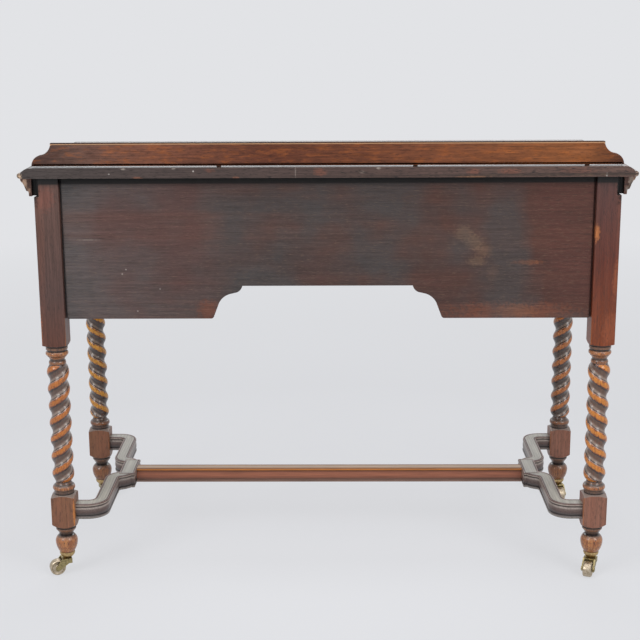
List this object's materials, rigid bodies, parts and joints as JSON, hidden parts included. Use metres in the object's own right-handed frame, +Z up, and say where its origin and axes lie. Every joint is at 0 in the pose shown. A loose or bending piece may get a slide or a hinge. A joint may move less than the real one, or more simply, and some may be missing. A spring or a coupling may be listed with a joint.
{
  "type": "writing desk",
  "caption": "Kneehole writing desk on barley-twist legs with brass casters, drawers with bail handles, curved end stretchers and a low gallery along the back of the top.",
  "frame": {"origin": "on the floor, under the middle of the desk's bounding box", "axes": "+Z up, drawers face -Y, back faces +Y, +X along the desk's width"},
  "size_m": [1.0668, 0.4675, 0.8015],
  "materials": {
    "show_wood": "dark stained and polished, worn at the edges",
    "turned_wood": "dark reddish stain over paler wood, glossy with wear on the ridges",
    "inside_wood": "unpolished, darkened with age",
    "drawer_wood": "unpolished drawer lining",
    "brass": "dull aged brass"
  },
  "bodies": {
    "case": {"top_board": "show_wood", "gallery_board": "show_wood", "gallery_dowels": "inside_wood", "left_top_moulding": "show_wood", "right_top_moulding": "show_wood", "front_top_moulding": "show_wood", "rear_left_leg": "turned_wood", "rear_right_leg": "turned_wood", "front_left_leg": "turned_wood", "front_right_leg": "turned_wood", "back_panel": "show_wood", "left_side_panel": "show_wood", "right_side_panel": "show_wood", "front_top_rail": "show_wood", "left_partition": "inside_wood", "right_partition": "inside_wood", "left_mid_rail": "show_wood", "right_mid_rail": "show_wood", "left_bottom_rail": "show_wood", "right_bottom_rail": "show_wood", "kneehole_apron": "show_wood", "drawer_runners": "inside_wood", "drawer_kickers": "inside_wood", "glue_blocks": "inside_wood", "left_end_stretcher": "show_wood", "right_end_stretcher": "show_wood", "long_stretcher": "show_wood", "caster_sockets": "brass"},
    "centre_drawer": {"centre_drawer_front": "show_wood", "centre_drawer_box": "drawer_wood", "centre_drawer_handle_plate": "brass"},
    "centre_bail": {"centre_drawer_bail": "brass"},
    "right_upper_drawer": {"right_upper_drawer_front": "show_wood", "right_upper_drawer_box": "drawer_wood", "right_upper_drawer_handle_plate": "brass"},
    "right_upper_bail": {"right_upper_drawer_bail": "brass"},
    "right_lower_drawer": {"right_lower_drawer_front": "show_wood", "right_lower_drawer_box": "drawer_wood", "right_lower_drawer_handle_plate": "brass"},
    "right_lower_bail": {"right_lower_drawer_bail": "brass"},
    "left_upper_drawer": {"left_upper_drawer_front": "show_wood", "left_upper_drawer_box": "drawer_wood", "left_upper_drawer_handle_plate": "brass"},
    "left_upper_bail": {"left_upper_drawer_bail": "brass"},
    "left_lower_drawer": {"left_lower_drawer_front": "show_wood", "left_lower_drawer_box": "drawer_wood", "left_lower_drawer_handle_plate": "brass"},
    "left_lower_bail": {"left_lower_drawer_bail": "brass"},
    "rear_right_caster": {"rear_right_caster_horn": "brass", "rear_right_caster_axle": "brass"},
    "rear_right_wheel": {"rear_right_caster_wheel": "brass"},
    "rear_left_caster": {"rear_left_caster_horn": "brass", "rear_left_caster_axle": "brass"},
    "rear_left_wheel": {"rear_left_caster_wheel": "brass"},
    "front_right_caster": {"front_right_caster_horn": "brass", "front_right_caster_axle": "brass"},
    "front_right_wheel": {"front_right_caster_wheel": "brass"},
    "front_left_caster": {"front_left_caster_horn": "brass", "front_left_caster_axle": "brass"},
    "front_left_wheel": {"front_left_caster_wheel": "brass"}
  },
  "joints": [
    {"name": "centre_drawer_slide", "type": "slide", "parent": "case", "child": "centre_drawer", "axis": [0, -1, 0], "range_m": [0, 0.3]},
    {"name": "centre_bail_hinge", "type": "hinge", "parent": "centre_drawer", "child": "centre_bail", "pos_m": [0, -0.2147, 0.67225], "axis": [-1, 0, 0], "range_deg": [0, 90]},
    {"name": "right_upper_drawer_slide", "type": "slide", "parent": "case", "child": "right_upper_drawer", "axis": [0, -1, 0], "range_m": [0, 0.3]},
    {"name": "right_upper_bail_hinge", "type": "hinge", "parent": "right_upper_drawer", "child": "right_upper_bail", "pos_m": [0.3465, -0.2147, 0.67225], "axis": [-1, 0, 0], "range_deg": [0, 90]},
    {"name": "right_lower_drawer_slide", "type": "slide", "parent": "case", "child": "right_lower_drawer", "axis": [0, -1, 0], "range_m": [0, 0.3]},
    {"name": "right_lower_bail_hinge", "type": "hinge", "parent": "right_lower_drawer", "child": "right_lower_bail", "pos_m": [0.3465, -0.2147, 0.56125], "axis": [-1, 0, 0], "range_deg": [0, 90]},
    {"name": "left_upper_drawer_slide", "type": "slide", "parent": "case", "child": "left_upper_drawer", "axis": [0, -1, 0], "range_m": [0, 0.3]},
    {"name": "left_upper_bail_hinge", "type": "hinge", "parent": "left_upper_drawer", "child": "left_upper_bail", "pos_m": [-0.3465, -0.2147, 0.67225], "axis": [-1, 0, 0], "range_deg": [0, 90]},
    {"name": "left_lower_drawer_slide", "type": "slide", "parent": "case", "child": "left_lower_drawer", "axis": [0, -1, 0], "range_m": [0, 0.3]},
    {"name": "left_lower_bail_hinge", "type": "hinge", "parent": "left_lower_drawer", "child": "left_lower_bail", "pos_m": [-0.3465, -0.2147, 0.56125], "axis": [-1, 0, 0], "range_deg": [0, 90]},
    {"name": "rear_right_caster_swivel", "type": "hinge", "parent": "case", "child": "rear_right_caster", "pos_m": [0.4864, 0.2003, 0.031], "axis": [0, 0, 1], "continuous": true},
    {"name": "rear_right_wheel_axle", "type": "hinge", "parent": "rear_right_caster", "child": "rear_right_wheel", "pos_m": [0.50448, 0.20761, 0.0143], "axis": [-0.3746, 0.9272, 0], "continuous": true},
    {"name": "rear_left_caster_swivel", "type": "hinge", "parent": "case", "child": "rear_left_caster", "pos_m": [-0.4864, 0.2003, 0.031], "axis": [0, 0, 1], "continuous": true},
    {"name": "rear_left_wheel_axle", "type": "hinge", "parent": "rear_left_caster", "child": "rear_left_wheel", "pos_m": [-0.47878, 0.21825, 0.0143], "axis": [-0.9205, 0.3907, 0], "continuous": true},
    {"name": "front_right_caster_swivel", "type": "hinge", "parent": "case", "child": "front_right_caster", "pos_m": [0.4864, -0.1867, 0.031], "axis": [0, 0, 1], "continuous": true},
    {"name": "front_right_wheel_axle", "type": "hinge", "parent": "front_right_caster", "child": "front_right_wheel", "pos_m": [0.46873, -0.19494, 0.0143], "axis": [0.4226, -0.9063, 0], "continuous": true},
    {"name": "front_left_caster_swivel", "type": "hinge", "parent": "case", "child": "front_left_caster", "pos_m": [-0.4864, -0.1867, 0.031], "axis": [0, 0, 1], "continuous": true},
    {"name": "front_left_wheel_axle", "type": "hinge", "parent": "front_left_caster", "child": "front_left_wheel", "pos_m": [-0.48979, -0.1675, 0.0143], "axis": [-0.9848, -0.1736, 0], "continuous": true}
  ]
}
